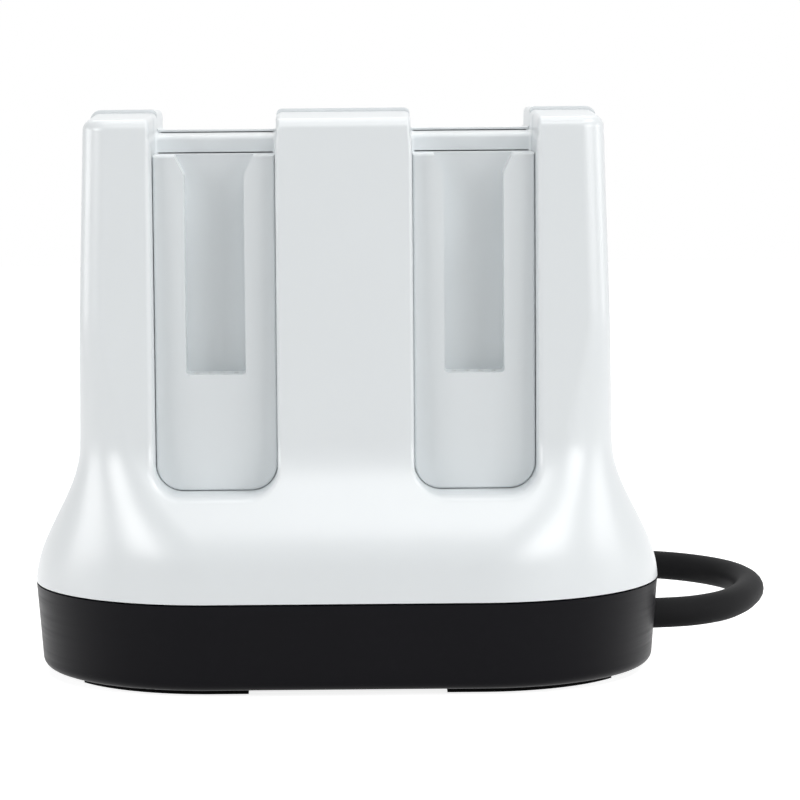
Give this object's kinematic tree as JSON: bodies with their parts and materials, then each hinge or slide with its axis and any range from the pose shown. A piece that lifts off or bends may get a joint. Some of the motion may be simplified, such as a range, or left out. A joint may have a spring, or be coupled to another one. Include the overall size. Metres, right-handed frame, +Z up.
{
  "type": "controller charging dock",
  "caption": "Free-standing controller charging dock: flared white housing with upright bays and rail slots between posts and a pillar, on a dark base with rubber feet and a captive power cord.",
  "frame": {"origin": "on the table under the middle of the dock", "axes": "+X to the right seen from the front, +Y to the rear, +Z up"},
  "size_m": [0.1292, 0.1558, 0.094],
  "materials": {
    "white_housing": "satin",
    "panel_plastic": "satin",
    "dark_base": "satin",
    "foot_rubber": "matt",
    "insulator": "matt",
    "circuit_board": "satin",
    "contact_metal": "polished",
    "screw_steel": "plain",
    "wire_jacket": "satin",
    "header_plastic": "satin",
    "ballast_steel": "plain",
    "cord_jacket": "satin",
    "tie_plastic": "satin",
    "plug_plastic": "satin",
    "plug_shell": "plated"
  },
  "bodies": {
    "root": {"front_housing": "white_housing", "rear_housing": "white_housing", "bay_panel_left": "panel_plastic", "bay_panel_right": "panel_plastic", "base_tray": "dark_base", "foot_front_left": "foot_rubber", "foot_front_right": "foot_rubber", "foot_rear_left": "foot_rubber", "foot_rear_right": "foot_rubber", "contact_block_left": "insulator", "contact_block_right": "insulator", "contact_board_left": "circuit_board", "contact_board_right": "circuit_board", "contact_pins_left": "contact_metal", "contact_pins_right": "contact_metal", "panel_screws": "screw_steel", "wire_harness_left": "wire_jacket", "wire_harness_right": "wire_jacket", "main_board": "circuit_board", "main_board_chips": "insulator", "main_board_headers": "header_plastic", "main_board_screws": "screw_steel", "ballast_plate": "ballast_steel", "base_screws": "screw_steel", "cable_bush": "cord_jacket", "cable_tail": "cord_jacket", "cable_lead": "cord_jacket", "cable_coil": "cord_jacket", "cable_tie": "tie_plastic", "usb_plug_grip": "plug_plastic", "usb_plug_shell": "plug_shell", "usb_plug_tongue": "insulator"}
  },
  "joints": []
}
